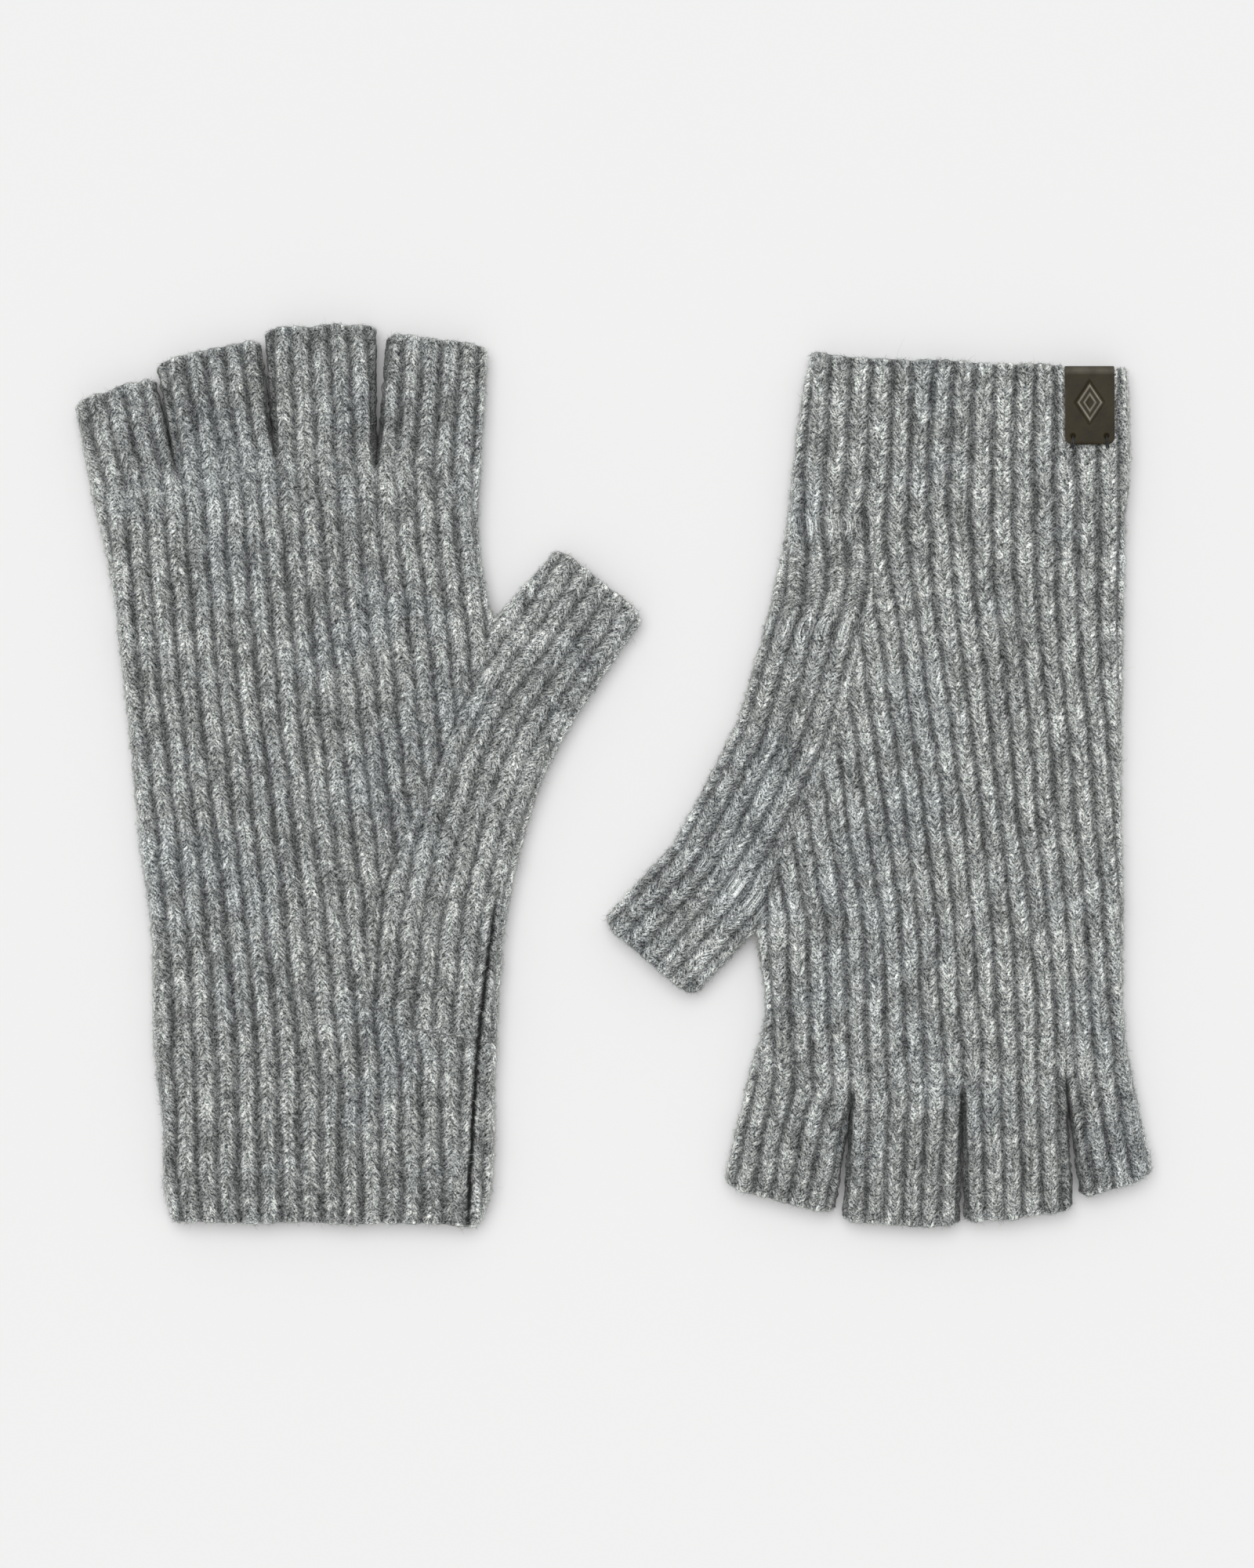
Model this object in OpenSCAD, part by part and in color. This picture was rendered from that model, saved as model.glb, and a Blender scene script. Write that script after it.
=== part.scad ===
// A pair of fingerless rib-knit wool gloves lying flat on a table.
// The right-hand glove lies palm up with its fingers towards +Y.
// The left-hand glove lies back up, turned half round, with its fingers towards -Y.
// Each glove is drawn in its own plan: x runs towards the thumb, y from the cuff to the
// fingers, and the middle of the cuff's mouth is at 0, 0. All sizes are in millimetres.

/* [Fabric] */
// Height of a glove as it lies flat
lie_h = 9.2; // [9:0.1:11]
// Thickness of one layer of rib knit
wall = 2.1; // [1.6:0.1:2.2]
// Gap between parts that bend against each other
slack = 0.3; // [0.3:0.05:0.6]
// Distance from the cuff's mouth to the line where the wrist bends
wrist_y = 57; // [50:1:60]

/* [Leather tab] */
// Width of the folded tab
tab_w = 13.4; // [12:0.1:14]
// Length of each leg of the tab from the cuff's edge
tab_leg = 22.4; // [18:0.1:24]
// Thickness of the leather
leather = 0.8; // [0.6:0.1:0.9]
// Radius of the two stitch holes
hole_r = 0.55; // [0.45:0.05:0.7]
// Distance between the two stitch holes
hole_gap = 8.6; // [6:0.1:9]
// Radius of the waxed thread
thread_r = 0.3; // [0.2:0.05:0.35]

/* [Seams] */
// Width of the linked seam's ridge inside the glove
seam_w = 1.6; // [1.2:0.1:2]
// Height of the ridge
seam_h = 1; // [0.6:0.1:1.2]

/* [Hidden] */

knit_colour = [0.55, 0.56, 0.56];
finger_colour = [0.6, 0.61, 0.61];
gusset_colour = [0.5, 0.51, 0.51];
seam_colour = [0.4, 0.41, 0.41];
leather_colour = [0.25, 0.23, 0.2];
thread_colour = [0.08, 0.08, 0.08];

round_r = lie_h / 2;          // the sides of a flattened tube are half rounds
layer_step = 22.5;            // angle between the rings of a half round
inner_h = lie_h - 2 * wall;   // height of the hollow between the two layers
past = 1.5;                   // how far a hollow is cut past an open end
hand_y = wrist_y + round_r + slack;

// Where each glove lies: [x, y, turn] of its cuff's mouth.
right_place = [-76.1, -121.4, 0];
left_place = [94.7, 111.9, 180];

// A digit is [centre of its root line, lean towards the thumb, root width, tip width, length].
// A glove is [little edge, thumb edge, gusset line, index edge, thumb, index, middle, ring, little].
LITTLE_EDGE = 0;
THUMB_EDGE = 1;
GUSSET_LINE = 2;
INDEX_EDGE = 3;
THUMB = 4;
INDEX = 5;
MIDDLE = 6;
RING = 7;
LITTLE = 8;

right_glove = [
    [[-42.8, 0], [-44.6, 7], [-45.4, 27], [-47.8, 48], [-48.5, 80], [-51.2, 101],
     [-55.4, 143], [-61.5, 185]],
    [[40.5, 0], [43.2, 6], [44.8, 17], [45, 38], [46, 62], [47.9, 80], [52, 101],
     [59.4, 122], [64.5, 132.5]],
    [[10.3, 58], [12, 85.5], [16.6, 98], [27.1, 122], [38.6, 148.5]],
    [[42.8, 169], [40.8, 183], [40.6, 193]],
    [[56.8, 152.1], 37.5, 32.4, 29.2, 25.6],
    [[26.6, 201.8], 3.5, 28.4, 27.8, 35.2],
    [[-1.7, 205.9], -2.5, 26.8, 27.8, 36.3],
    [[-28.4, 205.2], -8.5, 25.2, 26.4, 30],
    [[-53.3, 199.9], -13, 22.6, 21.3, 25.2]
];
left_glove = [
    [[-42.8, 0], [-44.1, 14], [-44.5, 25], [-43, 42], [-42.6, 60], [-42, 98],
     [-41.8, 119], [-42.8, 145], [-43.2, 182]],
    [[42.4, 0], [44.7, 14], [47, 30], [48.5, 45], [50.8, 57], [55.5, 75], [58.8, 87],
     [62.4, 98], [67.4, 108], [73.3, 119], [78.5, 128]],
    [[25, 60], [28.1, 72], [33, 95], [38.6, 110], [44.9, 122.4], [52, 137]],
    [[56.5, 161], [54.8, 171], [55.4, 181]],
    [[69, 142.3], 40, 32.4, 31, 24.2],
    [[45.2, 193.9], 11, 27, 29.8, 31],
    [[16.7, 196.7], 2, 28.6, 29.4, 36],
    [[-12.3, 193.6], -2, 26.8, 27.2, 36.2],
    [[-35.2, 189.6], -9.5, 17.6, 20.6, 32.6]
];

tab_x = -39.4;                // the tab's edge nearest the little finger, in the left glove's plan
hole_y = 20.3;                // the stitch holes' distance from the cuff's mouth
stitch_y = tab_leg + 1.2;     // where each stitch goes back into the knit
right_seam_z = lie_h - wall - seam_h;
left_seam_z = wall;

// ---- plan geometry ----

function across(lean) = [cos(lean), -sin(lean)];
function along(lean) = [sin(lean), cos(lean)];
function root(digit, side) = digit[0] + across(digit[1]) * digit[2] / 2 * side;
function tip(digit, side) =
    digit[0] + along(digit[1]) * digit[4] + across(digit[1]) * digit[3] / 2 * side;

// The point on the palm's edge where the thumb branches off.
function crotch(glove) = root(glove[THUMB], -1) - across(glove[THUMB][1]) * 2 * slack;

function edge_x(edge, y) = lookup(y, [for (p = edge) [p.y, p.x]]);
function edge_at(edge, y) = [edge_x(edge, y), y];
function edge_part(edge, low, high) = [for (p = edge) if (p.y > low && p.y < high) p];
function reversed(list) = [for (i = [len(list) - 1:-1:0]) list[i]];
function repeat(value, count) = [for (i = [0:1:count - 1]) value];

function inward(a, b) = [a.y - b.y, b.x - a.x] / norm(b - a);

// Moves corner b so that edge a-b lies d1 further in, and edge b-c d2 further in.
function shifted(a, b, c, d1, d2) =
    let (n1 = inward(a, b), n2 = inward(b, c), det = n1.x * n2.y - n1.y * n2.x)
    abs(det) < 0.02
        ? b + (n1 * d1 + n2 * d2) / 2
        : b + [d1 * n2.y - d2 * n1.y, n1.x * d2 - n2.x * d1] / det;

// A counter-clockwise outline with each edge moved in by its own distance.
function inset(points, by) =
    let (n = len(points))
    [for (i = [0:n - 1])
        shifted(points[(i + n - 1) % n], points[i], points[(i + 1) % n], by[(i + n - 1) % n], by[i])];

// ---- building blocks ----

// A slab of the lying height whose soft edges (1 in the list) are half rounds.
module pillow(points, soft) {
    n = len(points);
    angles = [-90:layer_step:90];
    rings = [for (a = angles)
        [for (p = inset(points, soft * (round_r - round_r * cos(a))))
            [p.x, p.y, round_r + round_r * sin(a)]]];
    count = len(rings);
    sides = [for (k = [0:count - 2], i = [0:n - 1])
        let (j = (i + 1) % n)
        each [[k * n + i, k * n + n + i, k * n + n + j], [k * n + i, k * n + n + j, k * n + j]]];
    caps = [[for (i = [0:n - 1]) i], [for (i = [n - 1:-1:0]) (count - 1) * n + i]];
    polyhedron([for (r = rings) each r], concat(sides, caps));
}

// A flattened tube of two knit layers, open at its open edges (1 in the list).
module sleeve(points, soft, open) {
    difference() {
        pillow(points, soft);
        translate([0, 0, wall])
            linear_extrude(inner_h)
                polygon(inset(points, [for (o = open) o ? -past : wall]));
    }
}

module digit_tube(digit) {
    step = along(digit[1]) * slack;
    points = [root(digit, -1) + step, root(digit, 1) + step, tip(digit, 1), tip(digit, -1)];
    sleeve(points, [1, 1, 0, 1], [1, 0, 1, 0]);
}

module cuff_tube(glove) {
    top = wrist_y + round_r;
    thumb_side = edge_part(glove[THUMB_EDGE], 0, top);
    little_side = edge_part(glove[LITTLE_EDGE], 0, top);
    points = [
        edge_at(glove[LITTLE_EDGE], 0), edge_at(glove[THUMB_EDGE], 0), each thumb_side,
        edge_at(glove[THUMB_EDGE], top), edge_at(glove[LITTLE_EDGE], top),
        each reversed(little_side)
    ];
    right_n = len(thumb_side) + 1;
    left_n = len(little_side) + 1;
    sleeve(points, [0, each repeat(1, right_n + 1 + left_n)],
        [1, each repeat(0, right_n), 1, each repeat(0, left_n)]);
}

function gusset_part(glove) = edge_part(glove[GUSSET_LINE], hand_y, 1000);

module hand_tube(glove) {
    line = gusset_part(glove);
    finger_line = [for (f = [INDEX, MIDDLE, RING, LITTLE]) each [root(glove[f], 1), root(glove[f], -1)]];
    little_side = edge_part(glove[LITTLE_EDGE], hand_y, 1000);
    points = [
        edge_at(glove[LITTLE_EDGE], hand_y), edge_at(glove[GUSSET_LINE], hand_y), each line,
        crotch(glove), each glove[INDEX_EDGE], each finger_line, each reversed(little_side)
    ];
    line_n = len(line) + 1;
    index_n = len(glove[INDEX_EDGE]) + 1;
    finger_n = len(finger_line) - 1;
    little_n = len(little_side) + 1;
    sleeve(points,
        [0, each repeat(0, line_n), each repeat(1, index_n), each repeat(0, finger_n),
         each repeat(1, little_n)],
        [1, each repeat(1, line_n), each repeat(0, index_n), each repeat(1, finger_n),
         each repeat(0, little_n)]);
}

// The gusset's thumb-side edge from the wrist to the root of the thumb.
function gusset_edge(glove) = [
    edge_at(glove[THUMB_EDGE], hand_y), each edge_part(glove[THUMB_EDGE], hand_y, 1000),
    root(glove[THUMB], 1)
];

module gusset_tube(glove) {
    line = gusset_part(glove);
    edge = gusset_edge(glove);
    points = [edge_at(glove[GUSSET_LINE], hand_y), each edge, crotch(glove), each reversed(line)];
    edge_n = len(edge) - 1;
    line_n = len(line) + 1;
    sleeve(points,
        [0, each repeat(1, edge_n), 0, each repeat(0, line_n)],
        [1, each repeat(0, edge_n), 1, each repeat(1, line_n)]);
}

// The ridge of a linked seam, inside a layer, along an edge given from the cuff upwards.
module seam_ridge(edge, z) {
    n = len(edge);
    ends = [edge[0] * 2 - edge[1], each edge, edge[n - 1] * 2 - edge[n - 2]];
    function line(d) = [for (i = [1:n]) shifted(ends[i - 1], ends[i], ends[i + 1], d, d)];
    near = wall + slack;
    translate([0, 0, z])
        linear_extrude(seam_h)
            polygon([each line(near), each reversed(line(near + seam_w))]);
}

function cuff_seam_edge(glove) = [
    edge_at(glove[THUMB_EDGE], 0), each edge_part(glove[THUMB_EDGE], 0, wrist_y),
    edge_at(glove[THUMB_EDGE], wrist_y)
];
function hand_seam_edge(glove) = [
    edge_at(glove[THUMB_EDGE], hand_y), each edge_part(glove[THUMB_EDGE], hand_y, 100),
    edge_at(glove[THUMB_EDGE], 100)
];

module lay(place) {
    translate([place.x, place.y, 0]) rotate(place.z) children();
}

// ---- right-hand glove ----

module right_hand() { color(knit_colour) lay(right_place) hand_tube(right_glove); }
module right_thumb_gusset() { color(gusset_colour) lay(right_place) gusset_tube(right_glove); }
module right_hand_seam() {
    color(seam_colour) lay(right_place) seam_ridge(hand_seam_edge(right_glove), right_seam_z);
}
module right_cuff() { color(knit_colour) lay(right_place) cuff_tube(right_glove); }
module right_cuff_seam() {
    color(seam_colour) lay(right_place) seam_ridge(cuff_seam_edge(right_glove), right_seam_z);
}
module right_thumb() { color(finger_colour) lay(right_place) digit_tube(right_glove[THUMB]); }
module right_index_finger() { color(finger_colour) lay(right_place) digit_tube(right_glove[INDEX]); }
module right_middle_finger() { color(finger_colour) lay(right_place) digit_tube(right_glove[MIDDLE]); }
module right_ring_finger() { color(finger_colour) lay(right_place) digit_tube(right_glove[RING]); }
module right_little_finger() { color(finger_colour) lay(right_place) digit_tube(right_glove[LITTLE]); }

// ---- left-hand glove ----

module left_hand() { color(knit_colour) lay(left_place) hand_tube(left_glove); }
module left_thumb_gusset() { color(gusset_colour) lay(left_place) gusset_tube(left_glove); }
module left_hand_seam() {
    color(seam_colour) lay(left_place) seam_ridge(hand_seam_edge(left_glove), left_seam_z);
}
module left_cuff() { color(knit_colour) lay(left_place) cuff_tube(left_glove); }
module left_cuff_seam() {
    color(seam_colour) lay(left_place) seam_ridge(cuff_seam_edge(left_glove), left_seam_z);
}
module left_thumb() { color(finger_colour) lay(left_place) digit_tube(left_glove[THUMB]); }
module left_index_finger() { color(finger_colour) lay(left_place) digit_tube(left_glove[INDEX]); }
module left_middle_finger() { color(finger_colour) lay(left_place) digit_tube(left_glove[MIDDLE]); }
module left_ring_finger() { color(finger_colour) lay(left_place) digit_tube(left_glove[RING]); }
module left_little_finger() { color(finger_colour) lay(left_place) digit_tube(left_glove[LITTLE]); }

// ---- leather tab on the left-hand glove's cuff ----

// The tab is folded over the back layer of the cuff, with two stitch holes in its outer leg.
module label_tab() {
    hole_x = tab_x + tab_w / 2;
    color(leather_colour) lay(left_place) difference() {
        translate([tab_x, -leather - slack, lie_h - wall - leather])
            cube([tab_w, tab_leg + leather + slack, wall + 2 * leather]);
        translate([tab_x - 1, -slack, lie_h - wall])
            cube([tab_w + 2, tab_leg + 2 * slack, wall]);
        for (side = [-1, 1])
            translate([hole_x + side * hole_gap / 2, hole_y, lie_h - leather])
                cylinder(r = hole_r, h = 3 * leather, $fn = 32);
    }
}

// One stitch: up through its hole, over the end of the tab and down to the knit.
module stitch() {
    top = leather + thread_r;
    cylinder(r = thread_r, h = top, $fn = 24);
    translate([0, 0, top]) sphere(r = thread_r, $fn = 24);
    translate([0, 0, top]) rotate([-90, 0, 0]) cylinder(r = thread_r, h = stitch_y - hole_y, $fn = 24);
    translate([0, stitch_y - hole_y, top]) sphere(r = thread_r, $fn = 24);
    translate([0, stitch_y - hole_y, 0]) cylinder(r = thread_r, h = top, $fn = 24);
}

module label_stitches() {
    color(thread_colour) lay(left_place)
        for (side = [-1, 1])
            translate([tab_x + tab_w / 2 + side * hole_gap / 2, hole_y, lie_h]) stitch();
}

right_hand();
right_thumb_gusset();
right_hand_seam();
right_cuff();
right_cuff_seam();
right_thumb();
right_index_finger();
right_middle_finger();
right_ring_finger();
right_little_finger();
left_hand();
left_thumb_gusset();
left_hand_seam();
left_cuff();
left_cuff_seam();
left_thumb();
left_index_finger();
left_middle_finger();
left_ring_finger();
left_little_finger();
label_tab();
label_stitches();
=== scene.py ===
"""A pair of fingerless rib-knit gloves, lying flat: one palm up, one back up.

Each glove is knitted here in its own plan, as in the CAD: x runs towards the thumb and
y from the cuff's mouth to the fingers, in millimetres. A grid of plan points is lifted to
a flattened tube, and the ribs and stitches stand out from it along its normals.
"""
import math

import bpy
import numpy as np
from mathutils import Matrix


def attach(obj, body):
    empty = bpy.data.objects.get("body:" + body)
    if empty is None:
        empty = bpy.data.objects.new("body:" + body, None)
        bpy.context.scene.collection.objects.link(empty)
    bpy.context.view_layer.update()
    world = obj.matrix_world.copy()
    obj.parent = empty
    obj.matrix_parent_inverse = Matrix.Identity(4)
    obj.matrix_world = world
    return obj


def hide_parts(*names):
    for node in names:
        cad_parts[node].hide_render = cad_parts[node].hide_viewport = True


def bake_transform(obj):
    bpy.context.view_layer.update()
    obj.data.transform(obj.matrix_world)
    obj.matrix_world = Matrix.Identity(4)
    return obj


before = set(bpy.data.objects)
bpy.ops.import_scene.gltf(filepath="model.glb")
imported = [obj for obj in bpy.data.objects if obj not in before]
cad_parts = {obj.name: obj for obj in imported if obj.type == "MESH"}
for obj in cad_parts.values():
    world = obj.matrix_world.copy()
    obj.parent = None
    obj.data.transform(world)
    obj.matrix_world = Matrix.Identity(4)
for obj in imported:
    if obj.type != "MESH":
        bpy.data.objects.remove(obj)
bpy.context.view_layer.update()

MM = 0.001
STEP = 0.44   # spacing of the knit's grid
HAIRS_PER_GLOVE = 48000
GLOVE_AREA = 52000    # outer surface of a glove in square mm, which its hairs are shared over
RIM_TURNS = 5   # rows of points round the edge of a mouth

# ---- the shape of the fabric ----
SIDE_R = 4.2          # plan radius of the rounded sides
HALF_H = 3.0          # half height of the flattened tube, without its ribs
END_FLAT = 0.45       # how much flatter a mouth lies
MOUTH_RUN = 16        # how far from the cuff's mouth that reaches
WALL = 1.3            # from the ribs' troughs to the inside of the layer
RIB = 0.95            # height of a rib over its troughs
LEG = 0.45            # height of a stitch's leg on its rib
RELIEF = 1.6          # the most that the knit stands out
COURSE = 2.15         # one row of stitches
COURSE_SLANT = 0.1    # how much the rows climb towards the little finger
LEG_SLOPE = 1.25      # how far the stitches' legs run back along the rib
FINGER_RIB = 5.1      # pitch of the fingers' own ribs
THUMB_RIB = 5.3       # pitch of the thumb's ribs, and the one that stitches are shaped for
WRIST_Y = 57
BORDER_Y = 65         # where the cuff's piece meets the hand's
GUSSET_Y = 66         # where the gusset's line begins to show
HINGE_IN = 4.9        # from a digit's root line to its hinge
GAP_INSET = 0.4       # how far a finger's side is drawn in beside its neighbour
CAD_MID_Z = 4.6

# ---- the leather tab, folded over the left cuff's mouth ----
TAB_X = -39.0
TAB_W = 13.4
TAB_THICK = 0.8
TAB_START = 4.6       # where the fold begins to turn over the mouth
TAB_END = 23.4
TAB_INNER_Z = 5.3     # height of its part inside the cuff
TAB_CORNER = 1.9      # radius of its corners
TAB_BEVEL = 0.28      # width of its rounded edge
TAB_DENT = 1.0        # how far the fold presses the mouth in
TAB_PRESS = 0.45      # how far the ribs stand under the tab, of their full height
MARK_Y = 12.2         # middle of the pressed diamond
MARK_SIZE = (3.6, 5.4)
HOLE_Y = 21.2
HOLE_GAP = 9.0

# Outlines run from the cuff up. A digit is its root's middle, lean, tilt of its end, width at
# its tip and length. "fan" and "pitch" give the place of one rib and the ribs' pitch against y.
GLOVES = {
    "right": {
        "place": (-76.1, -121.4),
        "turn": 1, "seed": 3,
        "palm_layer": 1, "contrast": 1.0,
        "shade": (0.467, 0.513), "finger_shade": -0.052, "thumb_shade": 0.015,
        "mouth": (2.7, 1.3),
        "tab": False,
        "side_seam": [(36.8, -30), (36.8, 7.3), (38.2, 33.3), (39.7, 53.7), (43.5, 84), (46, 100)],
        "little": [(-41.6, 0), (-43.8, 8), (-44.7, 27), (-47.0, 48), (-47.7, 80), (-50.5, 101),
                   (-54.7, 143), (-60.6, 185), (-62.8, 198)],
        "thumb": [(38.0, 0), (41.1, 6), (42.5, 17), (42.9, 38), (44.1, 62), (45.6, 80), (49.7, 101),
                  (56.6, 122), (63.3, 134.8)],
        "gusset": [(10.3, 65), (12, 85.5), (16.6, 98), (27.1, 122), (38.6, 148.5), (43.0, 161.6)],
        "index": [(43.0, 161.6), (40.8, 170), (38.8, 183), (38.4, 193)],
        "break": [(-4, 66), (1.5, 62), (12.4, 58.6), (18, 54.5), (29.6, 52), (40, 50)],
        "fan": [(0, -43.2), (45, -45), (85, -46.9), (120, -51.3), (150, -54.2), (200, -58.2),
                (240, -60.5)],
        "pitch": [(0, 5.4), (45, 5.52), (80, 5.3), (240, 5.15)],
        "thumb_tip": ((56.3, 152.4), 37.5, 1.5, 28.2, 25.8),
        "fingers": [
            ("little", (-52.7, 199.9), -12.5, -5, 21.4, 25.0),
            ("ring", (-28.7, 205.2), -8.5, -4.5, 27.8, 29.9),
            ("middle", (-1.7, 205.9), -2.5, 0.5, 29.0, 35.3),
            ("index", (26.0, 201.8), 3.5, 4.5, 26.2, 36.0),
        ],
        "crotches": [(-41.9, 204.0), (-15.3, 207.6), (12.0, 205.2)],
        "index_root": (38.9, 200.6), "little_root": (-63.7, 197.4),
    },
    "left": {
        "place": (94.7, 111.9),
        "turn": -1, "seed": 5,
        "palm_layer": -1, "contrast": 1.06,
        "shade": (0.555, 0.555), "finger_shade": -0.105, "thumb_shade": -0.025,
        "mouth": (4.0, -0.2),
        "tab": True,
        "side_seam": [(36.0, -30), (36.6, 7), (39.6, 30), (43.0, 57), (48.4, 84), (52, 98)],
        "little": [(-41.2, 0), (-42.4, 14), (-42.8, 25), (-41.5, 42), (-41.0, 60), (-40.4, 98),
                   (-40.1, 119), (-40.8, 145), (-41.2, 180), (-41.6, 187)],
        "thumb": [(41.8, 0), (44.3, 14), (46.3, 30), (47.9, 45), (50.3, 57), (54.6, 75), (58.0, 87),
                  (61.4, 98), (66.4, 108), (72.1, 119), (78.4, 130.4)],
        "gusset": [(25.6, 65), (28.1, 72), (33, 95), (38.6, 110), (44.9, 122.4), (52, 137),
                   (56.2, 151.8)],
        "index": [(56.2, 151.8), (55.4, 161), (53.6, 171), (54.6, 181)],
        "break": None,
        "fan": [(0, -42.8), (85, -43.4), (110, -46.0), (150, -48.6), (185, -51.4), (240, -53)],
        "pitch": [(0, 5.5), (42, 5.68), (58, 5.62), (84, 5.24), (110, 5.2), (150, 4.98),
                  (185, 5.08), (240, 5.0)],
        "thumb_tip": ((69.5, 141.5), 40, 0, 30.4, 25.5),
        "fingers": [
            ("little", (-34.3, 189.6), -9.5, -9, 19.4, 32.8),
            ("ring", (-12.3, 193.6), -2, -4, 28.6, 36.4),
            ("middle", (16.8, 196.7), 2, 0.5, 30.8, 35.3),
            ("index", (44.5, 193.9), 11, 3.5, 29.6, 32.1),
        ],
        "crotches": [(-26.0, 192.6), (1.8, 197.2), (31.2, 198.0)],
        "index_root": (57.6, 190.4), "little_root": (-42.3, 188.4),
    },
}

# ---- small numeric helpers ----


def across(lean):
    a = math.radians(lean)
    return np.array([math.cos(a), -math.sin(a)])


def along(lean):
    a = math.radians(lean)
    return np.array([math.sin(a), math.cos(a)])


def ease(x):
    x = np.clip(x, 0, 1)
    return x * x * (3 - 2 * x)


def bell(x, width, power=2):
    """1 at 0, falling away over the width; a higher power gives a flatter top."""
    return np.exp(-((x / width) ** power))


def unit(v):
    """Vectors brought to length 1."""
    return v / np.linalg.norm(v, axis=-1, keepdims=True)


def run_of(line):
    """The distance run along a line at each of its points."""
    return np.concatenate([[0], np.cumsum(np.linalg.norm(np.diff(line, axis=0), axis=1))])


def resample(line, count):
    run = run_of(line)
    at = np.linspace(0, run[-1], count)
    return np.stack([np.interp(at, run, line[:, 0]), np.interp(at, run, line[:, 1])], 1)


def smooth(points, count):
    """A cubic curve through the points, resampled at equal steps."""
    p = np.asarray(points, float)
    h = np.linalg.norm(np.diff(p, axis=0), axis=1)[:, None]
    slope = np.diff(p, axis=0) / h
    inside = (slope[:-1] * h[1:] + slope[1:] * h[:-1]) / (h[1:] + h[:-1])
    m = np.vstack([slope[:1], inside, slope[-1:]])
    u = np.linspace(0, 1, 30, endpoint=False)[:, None]
    parts = [
        (2 * u**3 - 3 * u**2 + 1) * p[i] + (u**3 - 2 * u**2 + u) * h[i] * m[i]
        + (3 * u**2 - 2 * u**3) * p[i + 1] + (u**3 - u**2) * h[i] * m[i + 1]
        for i in range(len(h))]
    return resample(np.vstack([*parts, p[-1:]]), count)


TABLE = np.random.default_rng(11).uniform(-1, 1, (256, 256))


def noise(x, y, seed=0):
    """Smooth value noise from -1 to 1, one cell to a unit."""
    x = np.asarray(x) + 31.7 * seed
    y = np.asarray(y) + 17.3 * seed
    i = np.floor(x).astype(int)
    j = np.floor(y).astype(int)
    u = ease(x - i)
    v = ease(y - j)
    low, high = (TABLE[i % 256, k % 256] * (1 - u) + TABLE[(i + 1) % 256, k % 256] * u for k in (j, j + 1))
    return low * (1 - v) + high * v


def chance(i, j, seed=0):
    """A fixed random number from 0 to 1 for each pair of whole numbers."""
    i = np.asarray(i).astype(int) * 7 + 13 * seed
    j = np.asarray(j).astype(int) * 3 + 29 * seed
    return TABLE[i % 256, (j + i // 256) % 256] * 0.5 + 0.5


def near(line, p, on_edge=None):
    """Distance from each point to a line, the unit vector away from it, and the run along it.

    The points of on_edge lie on the line, so their vector is the line's own inward normal.
    """
    run = run_of(line)
    best = np.full(len(p), 1e9)
    away = np.zeros((len(p), 2))
    arc = np.zeros(len(p))
    for start, seg, run_here in zip(line[:-1], np.diff(line, axis=0), run):
        size = np.linalg.norm(seg)
        u = np.clip((p - start) @ seg / size**2, 0, 1)
        v = p - start - u[:, None] * seg
        d = np.hypot(v[:, 0], v[:, 1])
        take = d < best
        best[take] = d[take]
        inward = np.array([seg[1], -seg[0]]) / size
        far = d[take] > 0.03
        if on_edge is not None:
            far = far & ~on_edge[take]
        outward = v[take] / np.maximum(d[take], 1e-9)[:, None]
        away[take] = np.where(far[:, None], outward, inward)
        arc[take] = run_here + u[take] * size
    return best, away, arc


def beyond(line, extra=25):
    """A line without its first point, and run on past its last one."""
    return np.vstack([line[1:], line[-1] + unit(line[-1] - line[-2]) * extra])


# ---- one glove's plan ----


def digit_side(corner, tip, into, inset):
    """A digit's side from its root's corner to its tip, drawn in between neighbours."""
    corner = np.asarray(corner)
    low = corner + (tip - corner) * 0.12 + into * inset * 0.75
    middle = corner + (tip - corner) * 0.35 + into * inset
    return np.array([corner, low, middle, tip + into * inset * 0.6])


def digit(left, right, insets, root, lean, tilt, tip_width, length):
    """A digit between the two corners of its root."""
    root = np.asarray(root)
    tip = root + along(lean) * length
    side = across(lean + tilt)
    return {
        "ahead": along(lean),
        "aside": across(lean),
        "root": root,
        "length": length,
        "left": digit_side(left, tip - side * tip_width / 2, side, insets[0]),
        "right": digit_side(right, tip + side * tip_width / 2, -side, insets[1]),
    }


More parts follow.
